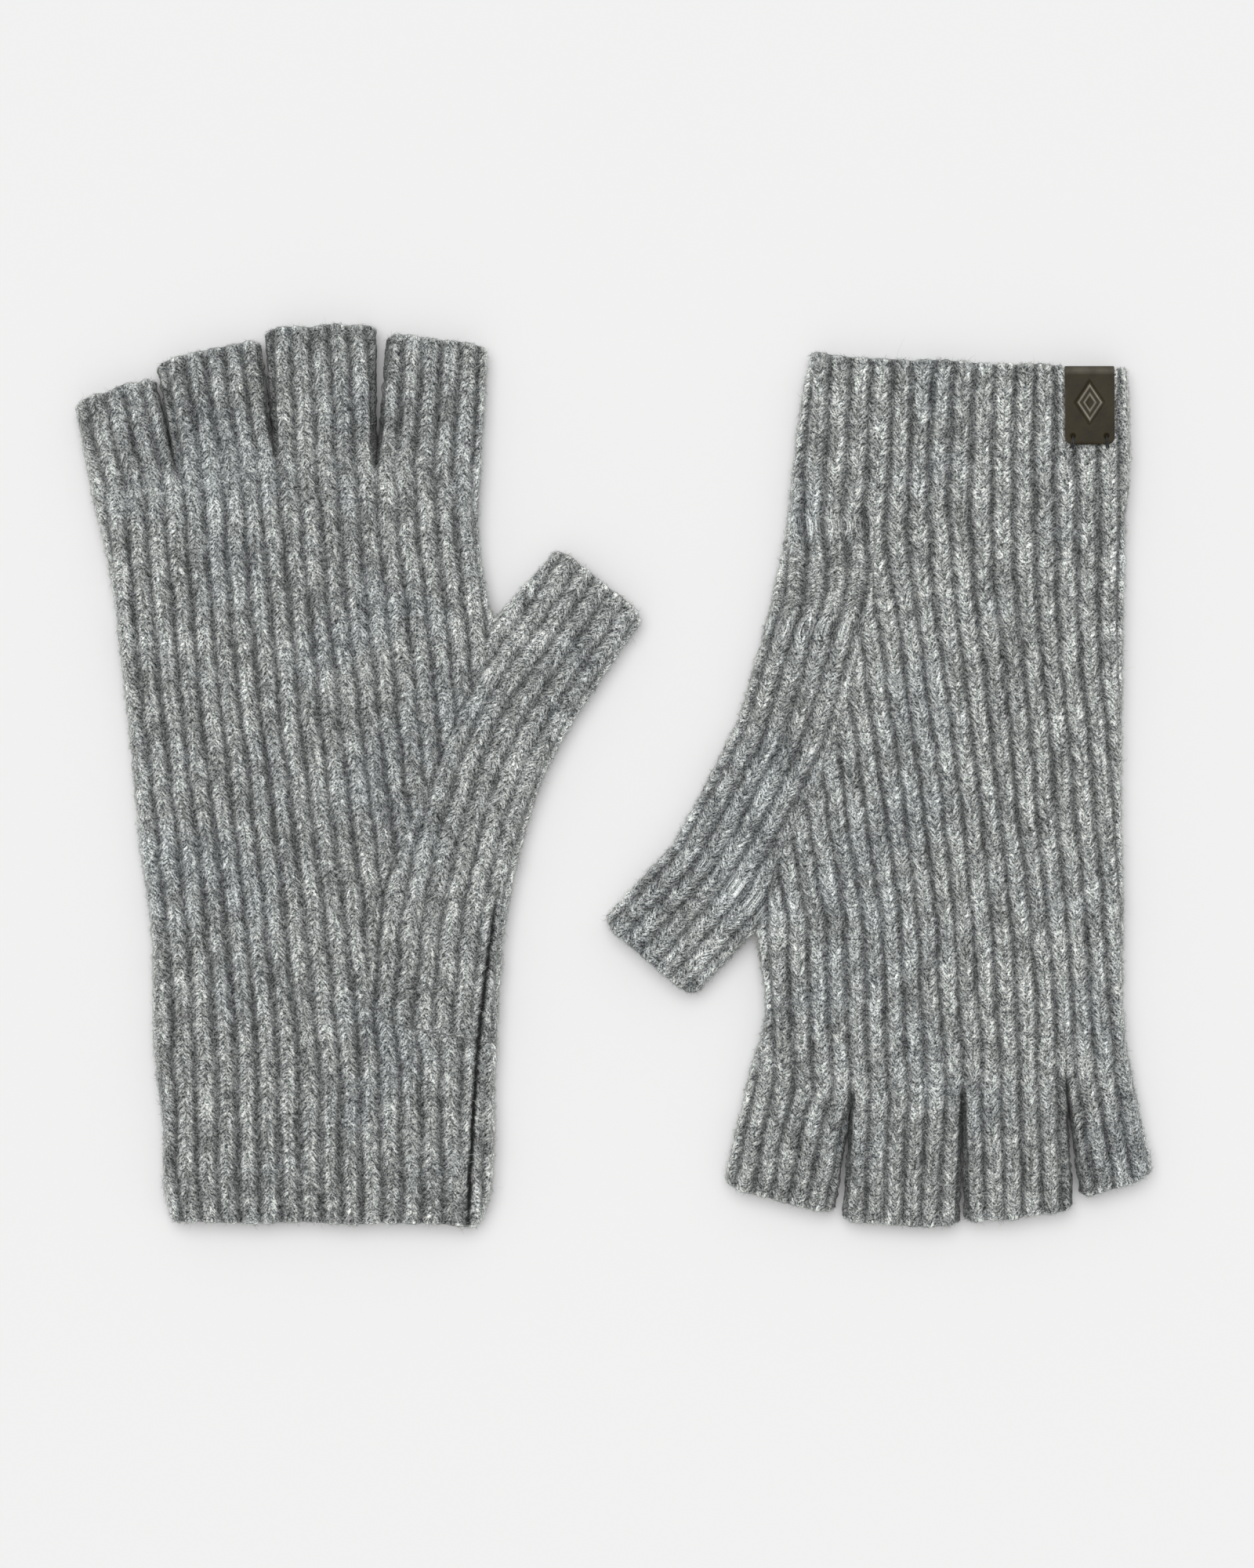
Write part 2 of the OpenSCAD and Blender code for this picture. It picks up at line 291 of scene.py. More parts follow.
def plan(g):
    """The glove's outlines: its digits, and the lines that a side or a gap follows."""
    g["little_line"] = smooth([*g["little"][:-1], g["little_root"]], 120)
    g["thumb_line"] = smooth(g["thumb"], 120)
    g["gusset_line"] = smooth(g["gusset"], 80)
    g["index_line"] = smooth([*g["index"], g["index_root"]], 40)
    corners = [g["little_root"], *g["crotches"], g["index_root"]]
    g["root_row"] = corners
    g["digits"] = {}
    last = len(g["fingers"]) - 1
    for k, (name, *shape) in enumerate(g["fingers"]):
        insets = (GAP_INSET if k > 0 else 0, GAP_INSET if k < last else 0)
        g["digits"][name] = digit(corners[k], corners[k + 1], insets, *shape)
    fingers = list(g["digits"].values())
    thumb = digit(g["gusset"][-1], g["thumb"][-1], (0, 0), *g["thumb_tip"])
    g["digits"]["thumb"] = thumb
    down = np.array([0, -25])
    little = g["little_line"]
    g["sides"] = [np.vstack([little[0] + down, little, beyond(fingers[0]["left"])])]
    for a, b in zip(fingers[:-1], fingers[1:]):
        g["sides"].append(np.vstack([beyond(a["right"])[::-1], a["right"][0], beyond(b["left"])]))
    g["sides"].append(np.vstack([
        beyond(fingers[-1]["right"])[::-1], g["index_line"][::-1], beyond(thumb["left"])]))
    g["outer"] = np.vstack([
        beyond(thumb["right"])[::-1], g["thumb_line"][::-1], g["thumb_line"][0] + down])
    g["sides"].append(g["outer"])


def side_distance(g, p, on_edge):
    """Distance to the nearest side, the way into the fabric, and whether it is a finger gap's."""
    best = np.full(len(p), 1e9)
    away = np.zeros((len(p), 2))
    gap_side = np.zeros(len(p), bool)
    for k, line in enumerate(g["sides"]):
        d, v, _ = near(line, p, on_edge)
        take = d < best
        best[take] = d[take]
        away[take] = v[take]
        gap_side[take] = 0 < k <= len(g["crotches"])
    for corner in g["crotches"]:
        gap = np.linalg.norm(p - np.asarray(corner), axis=1)
        away[on_edge & (gap < 0.3)] = (0, -1)
    best[on_edge] = 0
    return best, away, gap_side


def columns(width):
    """Fractions across a strip, closer together at both sides, where the tube turns under."""
    turns = max(3, round(SIDE_R * math.pi / 2 / STEP * 0.8))
    edge = SIDE_R * (1 - np.cos(np.linspace(0, math.pi / 2, turns + 1))) / width
    middle = np.linspace(edge[-1], 1 - edge[-1], max(4, round((width - 2 * SIDE_R) / STEP)) + 1)
    return np.concatenate([edge, middle[1:-1], 1 - edge[::-1]])


def between(a, b, fractions):
    return a[:, None, :] + (b - a)[:, None, :] * fractions[None, :, None]


def above_border(line):
    """The part of an outline that belongs to the hand's piece."""
    at = np.arange(len(line))
    split = np.interp(BORDER_Y, line[:, 1], at)
    start = [np.interp(split, at, line[:, c]) for c in (0, 1)]
    return np.vstack([start, line[int(split) + 1:]])


def cuff_grid(g, top):
    """The cuff's plan grid from its uneven mouth up to the given row."""
    little = g["little_line"]
    thumb = g["thumb_line"]
    fractions = (top[:, 0] - top[0, 0]) / (top[-1, 0] - top[0, 0])
    mouth = g["mouth"][0] + (g["mouth"][1] - g["mouth"][0]) * fractions
    mouth = mouth + 0.4 * noise(fractions * 7, 0, 3) + 0.2 * noise(fractions * 23, 0, 5)
    if g["tab"]:
        off = little[0, 0] + (thumb[0, 0] - little[0, 0]) * fractions - (TAB_X + TAB_W / 2)
        mouth = mouth + TAB_DENT * (1 - ease((np.abs(off) - TAB_W / 2 + 0.4) / 1.4))
    ys = np.linspace(0, BORDER_Y, round(BORDER_Y / STEP) + 1)[:, None]
    y = ys + (1 - ease(ys / 14)) * mouth
    left = np.interp(y, little[:, 1], little[:, 0])
    right = np.interp(y, thumb[:, 1], thumb[:, 0])
    grid = np.stack([left + (right - left) * fractions, y], -1)
    grid[-1] = top
    return grid


def digit_grid(d, part, root_row, seed):
    """A digit's plan grid from the given row to its slightly bulging end."""
    rows = max(6, round(d["length"] / STEP)) + 1
    grid = between(resample(d["left"], rows), resample(d["right"], rows), part)
    grid[0] = root_row
    bulge = 0.25 * np.sin(np.pi * part) + 0.4 * noise(part * 5, 0, seed)
    corner = -1.1 * (np.exp(-part * 26) + np.exp(-(1 - part) * 26)) - 0.35
    ahead = unit(grid[-1] - grid[-1 - rows // 3])
    v = np.linspace(0, 1, rows)[:, None, None]
    return grid + ahead * ease(v) ** 2 * (bulge + corner)[None, :, None]


def grids(g):
    """Plan grids, rows from the cuff to the fingers, columns from the little finger's side."""
    up_to_crotch = max(8, round(100 / STEP))
    above = max(4, round(40 / STEP))
    rows = up_to_crotch + above + 1
    widths = {n: np.linalg.norm(d["right"][0] - d["left"][0]) for n, d in g["digits"].items()}
    parts = {name: columns(width) for name, width in widths.items()}
    names = [f[0] for f in g["fingers"]]
    shares = np.cumsum([widths[n] for n in names])
    shares /= shares[-1]
    hand_left = above_border(g["little_line"])
    left_x = hand_left[0][0]
    gusset_x = g["gusset"][0][0]
    lines = [resample(hand_left, rows)]
    for share, crotch in zip(shares, g["crotches"]):
        bottom = (left_x + (gusset_x - left_x) * share, BORDER_Y)
        lines.append(resample(np.array([bottom, crotch]), rows))
    seam = resample(g["gusset_line"], up_to_crotch + 1)
    lines.append(np.vstack([seam, resample(g["index_line"], above + 1)[1:]]))
    strips = [between(a, b, parts[n]) for a, b, n in zip(lines[:-1], lines[1:], names)]
    hand = np.concatenate([strips[0]] + [s[:, 1:] for s in strips[1:]], 1)
    hand_right = resample(above_border(g["thumb_line"]), up_to_crotch + 1)
    gusset = between(seam, hand_right, parts["thumb"])
    out = {"cuff": cuff_grid(g, np.vstack([hand[0], gusset[0][1:]])), "hand": hand, "gusset": gusset}
    for name, strip in zip([*names, "thumb"], [*strips, gusset]):
        out[name] = digit_grid(g["digits"][name], parts[name], strip[-1], len(name) + g["turn"])
    return out


# ---- ribs and stitches ----


def stitches(s, t, seed):
    """The knit at ribs s and rows of stitches t: relief in mm, and what the material reads."""
    s = s + 0.08 * noise(s * 0.35, t * 0.16, seed) + 0.05 * noise(s * 1.3, t * 0.7, seed + 1)
    rib = np.round(s)
    f = s - rib
    x = np.abs(f) * THUMB_RIB
    wide = 0.33 + 0.05 * noise(rib * 0.73, t * 0.17, seed + 4)
    own = 1 - ease((np.abs(f) - wide + 0.1) / 0.19)
    ridge = own * (1 - 0.9 * f**2)
    phase = t + 3 * chance(rib, 0, seed) + LEG_SLOPE * x / COURSE + 0.14 * noise(s * 2, t, seed + 2)
    row = np.floor(phase)
    leg = np.sin(np.pi * (phase - row)) ** 0.7
    hole = bell(x, 0.45)
    bump = leg * (1 - 0.55 * hole) * own
    side = np.where(f < 0, 0, 1)
    tone = chance(rib * 2 + side, row, seed + 3)
    uneven = 1 + 0.15 * noise(s * 0.6, t * 0.3, seed + 4) + 0.1 * noise(s * 1.9, t * 1.1, seed + 5)
    purl = (1 - own) * np.sin(np.pi * (t - np.floor(t)))
    # crest drives painted shade and light: low in the troughs beside each rib and in the holes between the
    # legs, high on the legs and ribs.
    crest = 0.58 * own * (1 - 1.3 * f**2) + 0.42 * bump + 0.12 * purl
    crest = crest - 0.3 * own * hole * (1 - leg)
    y = t * COURSE
    return {
        "relief": RIB * ridge * uneven + LEG * bump * (0.7 + 0.6 * tone) + 0.22 * purl,
        "crest": np.clip(crest + 0.1 * noise(s * 0.9, t * 0.4, seed + 6), 0, 1),
        "tone": tone,
        "yarn": np.stack([
            0.62 * x - 0.78 * y, 0.78 * x + 0.62 * y, rib * 7.3 + side * 3.1 + row * 0.37], 1),
    }


def mixed(a, b, w):
    """Knit a turned into knit b as w goes from 0 to 1, with the stronger one's stitches."""
    strong = w > 0.5
    return {
        **a,
        "relief": a["relief"] * (1 - w) + b["relief"] * w,
        "crest": a["crest"] * (1 - w) + b["crest"] * w,
        "tone": np.where(strong, b["tone"], a["tone"]),
        "yarn": np.where(strong[:, None], b["yarn"], a["yarn"]),
    }


def under_tab(p, margin):
    """1 under the tab, and 0 beyond the margin round it."""
    off = np.maximum(np.abs(p[:, 0] - TAB_X - TAB_W / 2) - TAB_W / 2, p[:, 1] - TAB_END)
    return 1 - ease(off / margin)


def along_pairs(pairs, at):
    return np.interp(at, *np.transpose(pairs))


def hand_rib(g, p):
    x, y = p.T
    return (x - along_pairs(g["fan"], y)) / along_pairs(g["pitch"], y)


def climb(v):
    """How far a point lies up the hand, as its rows of stitches count it."""
    return v[..., 1] + COURSE_SLANT * v[..., 0]


def thumb_rib(g, p):
    """Ribs and rows that follow the thumb's outer side."""
    d, _, arc = near(g["outer"], p)
    split = np.array([[g["gusset"][0][0], WRIST_Y]])
    split_d, _, _ = near(g["outer"], split)
    return hand_rib(g, split)[0] + (split_d[0] - d) / THUMB_RIB, -arc / COURSE


def with_finger_ribs(g, piece, p, out, past, seed):
    """The hand's ribs turned into a finger's own, which start from them at its root."""
    d = g["digits"][piece]
    v = p - d["root"]
    start = hand_rib(g, d["root"][None])[0]
    s = start + v @ d["aside"] / FINGER_RIB
    sideways = climb(d["aside"]) * (np.round(s) - start) * FINGER_RIB
    t = (climb(d["root"]) + v @ d["ahead"] + sideways) / COURSE
    return mixed(out, stitches(s, t, seed), ease(past / 6))


def thumb_share(g, piece, p, has_break):
    """How far the thumb's ribs take the place of the hand's, from 0 to 1."""
    x, y = p.T
    line_x, line_y = g["gusset_line"].T
    edge = np.interp(y, line_y, line_x) + np.maximum(y - line_y[-1], 0) * 1.2
    if has_break:
        edge -= np.maximum(line_y[0] - y, 0) * 0.6
    share = ease((x - edge) / 1.8 + 0.5)
    if piece == "thumb":
        start, end = np.array([g["gusset"][-1], g["thumb"][-1]])
        root_x, root_y = unit(end - start)
        past = (p - start) @ np.array([-root_y, root_x])
        share = share + (1 - share) * ease(past / 5)
    return share


def with_thumb_ribs(g, p, out, s, t, share, has_break, seed):
    """The thumb's ribs beside the hand's s and t: fanned out of them, or behind a break."""
    x, y = p.T
    thumb_s, thumb_t = thumb_rib(g, p)
    if not has_break:
        turn = ease((y - 42) / 34)
        thumb_s = s * (1 - turn) + thumb_s * turn
        thumb_t = t * (1 - turn) + (thumb_t + 60) * turn
        seam = share
    else:
        over = y - along_pairs(g["break"], x)
        seam = share * ease(over / 5 + 0.5)
    out = mixed(out, stitches(thumb_s, thumb_t, seed + 5), seam)
    out["relief"] *= 1 - 1.2 * seam * (1 - seam)
    if has_break:
        # Painted shade in the dent along the break, as well as a shallower relief.
        dent = bell(over + 1.6 * noise(x * 0.35, y * 0.2, seed + 2), 3.6) * share
        out["relief"] *= 1 - 0.35 * dent
        out["crest"] *= 1 - 0.2 * dent
    return out


def sew_side(g, p, out, seed):
    """The linked side seam: a groove between two lips with painted shade in it, fading out up the hand."""
    x, y = p.T
    seam_x, seam_y = np.transpose(g["side_seam"])
    off = x - np.interp(y, seam_y, seam_x)
    off += 0.3 * noise(off * 0.8, y * 0.9, seed + 1)
    deep = ease((94 - y) / 12)
    groove = bell(off, 0.75) * deep
    lip = bell(np.abs(off) - 2.0, 0.9) * deep
    out["relief"] *= (1 - groove) * (1 - 0.4 * lip)
    out["relief"] += 0.75 * lip - 0.3 * groove
    out["crest"] *= (1 - groove) * (1 - 0.5 * lip)
    out["crest"] += 0.45 * lip
    # Painted shade darkens the groove.
    out["shade"] -= 0.5 * bell(off, 0.68, 4) * deep


def loosen_roots(p, below, strength, out, seed):
    """The looser band of stitches below the fingers' roots."""
    band = bell(below - 4, 5.0) * strength
    x, y = p.T
    rough = noise(x * 0.9, y * 0.9, seed + 6) + 0.5 * noise(x * 2, y * 2, seed + 8)
    out["relief"] += band * (0.3 * rough + 0.25 - 0.4 * out["relief"])
    out["crest"] += 0.4 * band * (0.62 + 0.35 * rough - out["crest"])


def finish_end(p, left, fade, out, seed):
    """The last row before a mouth: flatter and knotty, darkened by fade towards the mouth, with painted
    light along the very edge.
    """
    end = 1 - ease(left / 3.5)
    knots = noise(p[:, 0] * 1.1, p[:, 1] * 1.1, seed + 7)
    out["relief"] += end * (0.3 * knots + 0.15 - 0.3 * out["relief"])
    out["crest"] += end * (0.1 + 0.2 * knots - 0.35 * out["crest"])
    out["shade"] += 0.16 * (1 - ease(left / 1.6)) - fade * end


def knit(g, piece, p, layer):
    """The knit at plan points p of one layer (1 is the upper one)."""
    seed = 20 + 7 * layer + 3 * g["turn"]
    palm = layer == g["palm_layer"]
    y = p[:, 1]
    s = hand_rib(g, p)
    t = climb(p) / COURSE
    out = stitches(s, t, seed)
    cuff_shade, hand_shade = g["shade"]
    out["shade"] = cuff_shade + (hand_shade - cuff_shade) * ease((y - 40) / 50)
    calm = np.zeros(len(p))
    below = along_pairs(g["root_row"], p[:, 0]) - y
    if piece in g["digits"] and piece != "thumb":
        out = with_finger_ribs(g, piece, p, out, -below, seed)
        out["shade"] += g["finger_shade"] * ease(-below / 10)
    else:
        has_break = palm and g["break"] is not None
        share = thumb_share(g, piece, p, has_break)
        out = with_thumb_ribs(g, p, out, s, t, share, has_break, seed)
        # Painted shade along the line where the thumb's ribs meet the hand's.
        out["shade"] -= 0.5 * share * (1 - share) * ease((y - GUSSET_Y) / 8)
        calm = share * ease((y - GUSSET_Y) / 20)
        if palm:
            sew_side(g, p, out, seed)
    if piece not in ("cuff", "thumb", "gusset"):
        loosen_roots(p, below, 1 if palm else 0.55, out, seed)
    if g["tab"] and layer == 1:
        out["relief"] *= 1 - (1 - TAB_PRESS) * under_tab(p, 0.6)
    if piece == "cuff":
        finish_end(p, y, 0.07, out, seed)
    elif piece in g["digits"]:
        d = g["digits"][piece]
        finish_end(p, d["length"] - (p - d["root"]) @ d["ahead"], 0.02, out, seed)
    contrast = g["contrast"] * (1 - 0.18 * calm)
    out["relief"] *= 1 - 0.1 * calm
    out["crest"] = np.clip(0.5 + (out["crest"] - 0.5) * contrast, 0, 1)
    out["shade"] = np.clip(out["shade"] + g["thumb_shade"] * calm, 0, 1)
    return out


# ---- from the plan to the two layers of a tube ----


def along_digit(g, piece, p):
    """How far points lie towards a digit's tip, as a share of its length."""
    if piece not in g["digits"]:
        return np.zeros(len(p))
    d = g["digits"][piece]
    return ease((p - d["root"]) @ d["ahead"] / d["length"])


def half_height(g, piece, p):
    """Half height of the tube: the cuff's mouth and the digits' ends lie a little flatter."""
    x, y = p.T
    soft = 0.16 * noise(x / 26, y / 30, 41 + g["turn"])
    h = HALF_H + soft - 0.15 - END_FLAT * (1 - ease(y / MOUTH_RUN))
    return h - 0.45 * along_digit(g, piece, p)


def lift(g, piece, grid, edges, layer):
    """The outer surface, the inner one and the normals over a plan grid, with its attributes."""
    shape = grid.shape[:2]
    p = grid.reshape(-1, 2)
    d, away, gap_side = side_distance(g, p, edges.ravel())
    d = np.minimum(d, SIDE_R)
    depth = d / SIDE_R
    turn = np.arccos(1 - depth)
    shift = SIDE_R * (1 - (math.pi / 2 - turn)) - d
    half = half_height(g, piece, p)
    z = half + RELIEF + layer * half * np.sin(turn)
    normal = unit(np.column_stack([
        -away * (half * np.cos(turn))[:, None], layer * SIDE_R * np.sin(turn)]))
    k = knit(g, piece, p + away * shift[:, None], layer)
    w = ease(depth / np.where(gap_side, 0.27, 0.3))
    x, y = p.T
    rim = 0.75 + 0.3 * noise(x / 1.3, y / 1.3, 51) + 0.12 * noise(x / 0.6, y / 0.6, 52)
    # Painted shade on the sides that face a neighbouring finger, lightening towards the tip, and painted
    # light on the other sides.
    lit = ease(depth / np.where(gap_side, 0.48, 0.3))
    side_shade = np.where(gap_side, 0.2025 * along_digit(g, piece, p), 1)
    out = {
        "base": np.column_stack([p, z]),
        "normal": normal,
        "relief": np.clip(k["relief"] * w + rim * (1 - w), -0.3, RELIEF),
        "crest": k["crest"] * w + 0.75 * (1 - w),
        "tone": k["tone"],
        "shade": k["shade"] * lit + side_shade * (1 - lit),
        "yarn": k["yarn"],
    }
    return {key: v.reshape(*shape, *v.shape[1:]) for key, v in out.items()}


def layer_grid(g, piece, grid, edges, layer, mouth, out_dir):
    """One layer of a piece as rows of points, turned in over the mouth where it has one."""
    f = lift(g, piece, grid, edges, layer)
    outer = f["base"] + f["normal"] * f["relief"][..., None]
    extra = np.stack([f["crest"], f["tone"], f["shade"]], -1)
    if mouth is None:
        return outer, extra, f["yarn"]
    end = 0 if mouth == "first" else -1
    normal = f["normal"][end]
    relief = f["relief"][end]
    middle = f["base"][end] - normal * WALL / 2
    lip = WALL / 2 + 0.55 * relief / RELIEF
    rim = []
    for angle in np.linspace(0, math.pi, RIM_TURNS + 2)[1:-1]:
        tall = WALL / 2 + relief * max(math.cos(angle), 0)
        rim.append(middle + normal * (tall * math.cos(angle))[:, None]
                   + np.array([*out_dir, 0.0]) * (lip * math.sin(angle))[:, None])
    step = max(1, round(2.2 / STEP))
    inner = f["base"] - f["normal"] * WALL
    tail = np.concatenate([rim, inner[::step] if mouth == "first" else inner[::-1][::step]])
    count = len(tail)
    tail_extra = extra[end][None].repeat(count, 0)
    # Painted shade deepening from the rim into the mouth, with painted light on the rim itself.
    tail_extra[..., 0] *= np.linspace(1, 0.4, count)[:, None]
    tail_extra[..., 2] = np.linspace(0.95, 0.45, count)[:, None]
    tail_yarn = f["yarn"][end][None].repeat(count, 0)
    tail_yarn[..., 1] += (np.arange(count) * 0.8)[:, None]
    pairs = [(outer, tail), (extra, tail_extra), (f["yarn"], tail_yarn)]
    if mouth == "first":
        return [np.concatenate([b[::-1], a]) for a, b in pairs]
    return [np.concatenate([a, b]) for a, b in pairs]


def lining(g, piece, grid, edges, layer):
    """The coarse inside of the hand, where no mouth shows it from near by."""
    step = max(1, round(3 / STEP))
    picks = [np.unique(np.append(np.arange(0, n, step), n - 1)) for n in grid.shape[:2]]
    at = np.ix_(*picks)
    f = lift(g, piece, grid[at], edges[at], layer)
    inner = f["base"] - f["normal"] * WALL
    # Painted shade on the inside: its crest is kept low.
    extra = np.stack([f["crest"] * 0.4, f["tone"], f["shade"]], -1)
    return inner[::-1], extra[::-1], f["yarn"][::-1]


def grid_faces(rows, cols, flip):
    i = (np.arange(rows - 1)[:, None] * cols + np.arange(cols - 1)).ravel()
    quads = np.stack([i, i + 1, i + cols + 1, i + cols], 1)
    return quads[:, ::-1] if flip else quads


# ---- loose fibres ----

HAIR_POINTS = 8


def fibres(points, normals, count, rng):
    """Short curved hairs, each a thin closed three-sided spindle with its root in the knit."""
    n = normals
    root = points - n * 0.25 + rng.normal(0, 0.15, (count, 3))
    tangent = rng.normal(size=(count, 3))
    tangent -= n * (tangent * n).sum(1)[:, None]
    tangent = unit(tangent)
    rim = np.abs(n[:, 2]) < 0.5
    rise = (rng.uniform(0.08, 0.6, count) + rng.uniform(0, 0.9, count) * rim)[:, None]
    length = (rng.gamma(2.2, 0.5, count) * np.where(rim, 0.35, 1) + 0.5)[:, None]
    curl = np.cross(n, tangent) * rng.normal(0, 0.6, count)[:, None]
    radius = rng.uniform(0.028, 0.05, count)[:, None]
    side = np.cross(tangent, n)
    places = [root]
    for u, thick in ((0.25, 1), (0.65, 0.8)):
        centre = root + (tangent * u + curl * u * u + n * (rise * u - 0.35 * u * u * rise)) * length
        for k in range(3):
            angle = 2 * math.pi * k / 3
            places.append(centre + (side * math.cos(angle) + n * math.sin(angle)) * radius * thick)
    places.append(root + (tangent + curl + n * rise * 0.65) * length)
    verts = np.stack(places, 1)
    verts[..., 2] = np.maximum(verts[..., 2], 0.05)
    start = np.arange(count)[:, None, None] * HAIR_POINTS
    quads = [[1 + k, 1 + (k + 1) % 3, 4 + (k + 1) % 3, 4 + k] for k in range(3)]
    tris = [[0, 1 + (k + 1) % 3, 1 + k] for k in range(3)]
    tris += [[4 + k, 4 + (k + 1) % 3, 7] for k in range(3)]
    return (verts.reshape(-1, 3), (start + np.array(quads)[None]).reshape(-1, 4),
            (start + np.array(tris)[None]).reshape(-1, 3))


# ---- meshes ----


def to_world(g, verts):
    out = verts.copy()
    out[:, :2] = verts[:, :2] * g["turn"] + np.asarray(g["place"])
    return out * MM


def add_object(name, data, location=(0, 0, 0)):
    obj = bpy.data.objects.new(name, data)
    obj.location = location
    bpy.context.scene.collection.objects.link(obj)
    return obj


def flat_numbers(values):
    return np.ascontiguousarray(values, np.float32).ravel()


def make_mesh(name, verts, faces, uv=None, attributes=None, materials=(), slots=None):
    """A smooth mesh object from arrays; faces is a list of quad and triangle arrays."""
    mesh = bpy.data.meshes.new(name)
    mesh.vertices.add(len(verts))
    mesh.vertices.foreach_set("co", flat_numbers(verts))
    loops = np.concatenate([f.ravel() for f in faces])
    sizes = np.concatenate([np.full(len(f), f.shape[1]) for f in faces])
    starts = np.concatenate([[0], np.cumsum(sizes)[:-1]])
    mesh.loops.add(len(loops))
    mesh.loops.foreach_set("vertex_index", loops.astype(np.int32))
    mesh.polygons.add(len(sizes))
    mesh.polygons.foreach_set("loop_start", starts.astype(np.int32))
    mesh.polygons.foreach_set("use_smooth", np.ones(len(sizes), bool))
    for m in materials:
        mesh.materials.append(m)
    if slots is not None:
        mesh.polygons.foreach_set("material_index", slots.astype(np.int32))
    mesh.update(calc_edges=True)
    if uv is not None:
        layer = mesh.uv_layers.new(name="OFBake")
        layer.data.foreach_set("uv", flat_numbers(uv[loops]))
    for key, values in (attributes or {}).items():
        data = mesh.attributes.new(key, "FLOAT_VECTOR", "POINT")
        data.data.foreach_set("vector", flat_numbers(values))
    return add_object(name, mesh)


def weld(verts, extra, yarn, uv, quads):
    """Joins points that lie in the same place, such as the sides of the two layers."""
    key = np.round(verts * 500).astype(np.int64)
    code = (key[:, 0] * 1000003 + key[:, 1]) * 1000003 + key[:, 2]
    _, first, back = np.unique(code, return_index=True, return_inverse=True)
    quads = back.ravel()[quads]
    same = (quads == np.roll(quads, 1, 1)).any(1)
    return verts[first], extra[first], yarn[first], uv[first], quads[~same]


def flat_uv(verts, low, high, layer):
    """The upper layer's plan fills one half of the UV square, and the lower one's the other."""
    corner = [0.01 if layer == 1 else 0.51, 0.01]
    return (verts[:, :2] - low) / (high - low) * [0.48, 0.98] + corner


def fabric(g, patches, mouth, out_dir, low, high):
    """The points, attributes and faces of a piece's upper and lower layer, joined at the sides."""
    parts = []
    quads = []
    base = 0
    for piece, grid, edges in patches:
        for layer in (1, -1):
            sets = [layer_grid(g, piece, grid, edges, layer, mouth, out_dir)]
            if mouth is None:
                sets.append(lining(g, piece, grid, edges, layer))
            for verts, extra, yarn in sets:
                quads.append(grid_faces(*verts.shape[:2], layer == -1) + base)
                verts = verts.reshape(-1, 3)
                base += len(verts)
                uv = flat_uv(verts, low, high, layer)
                parts.append((verts, extra.reshape(-1, 3), yarn.reshape(-1, 3), uv))
    return weld(*[np.concatenate(column) for column in zip(*parts)], np.concatenate(quads))


def hair_seats(g, verts, extra, quads):
    """The faces' middles and normals, how likely each is to carry a hair, and the area shown."""
    corners = verts[quads]
    normal = np.cross(corners[:, 2] - corners[:, 0], corners[:, 3] - corners[:, 1])
    area = np.linalg.norm(normal, axis=1)
    normal /= np.maximum(area, 1e-9)[:, None]
    centre = corners.mean(1)
    middle = HALF_H + RELIEF
    area = area * ((centre[:, 2] - middle) * normal[:, 2] > -0.2)
    below = normal[:, 2] < -0.4
    at_side = np.abs(normal[:, 2]) < 0.5
    weight = area * np.where(below, 0.35, 1) * np.where(at_side, 9, 1)
    weight = weight * (extra[quads, 2].mean(1) > 0.4)
    if g["tab"]:
        weight = weight * (1 - under_tab(centre, 1.2) * (centre[:, 2] > middle))
    return centre, normal, weight / weight.sum(), area.sum() / 2


def fabric_piece(g, name, patches, mouth, out_dir, wool, fluff, rng):
    """One knitted piece from its plan patches, with its loose fibres."""
    points = np.concatenate([grid.reshape(-1, 2) for _, grid, _ in patches])
    low, high = points.min(0) - 3, points.max(0) + 3
    v, e, y, uv, quads = fabric(g, patches, mouth, out_dir, low, high)
    centre, normal, weight, area = hair_seats(g, v, e, quads)
    share = int(HAIRS_PER_GLOVE * min(1, area / GLOVE_AREA))
    chosen = rng.choice(len(quads), share, p=weight)
    hair_v, hair_q, hair_t = fibres(centre[chosen], normal[chosen], share, rng)
    count = len(hair_v)
    tones = np.repeat(rng.uniform(0, 1, share), HAIR_POINTS)
    hair_e = np.column_stack([np.ones(count), tones, np.zeros(count)])
    hair_y = np.column_stack([
        np.tile(np.linspace(0, 2, HAIR_POINTS), share), np.zeros(count),
        np.repeat(np.arange(share), HAIR_POINTS)])
    uv = np.clip(np.vstack([uv, flat_uv(hair_v, low, high, 1)]), 0, 1)
    faces = [quads, hair_q + len(v), hair_t + len(v)]
    slots = np.concatenate([np.zeros(len(quads)), np.ones(len(hair_q) + len(hair_t))])
    attributes = {"knit": np.vstack([e, hair_e]), "yarn": np.vstack([y, hair_y])}
    return make_mesh(name, to_world(g, np.vstack([v, hair_v])), faces, uv, attributes,
                     (wool, fluff), slots)


# ---- materials ----


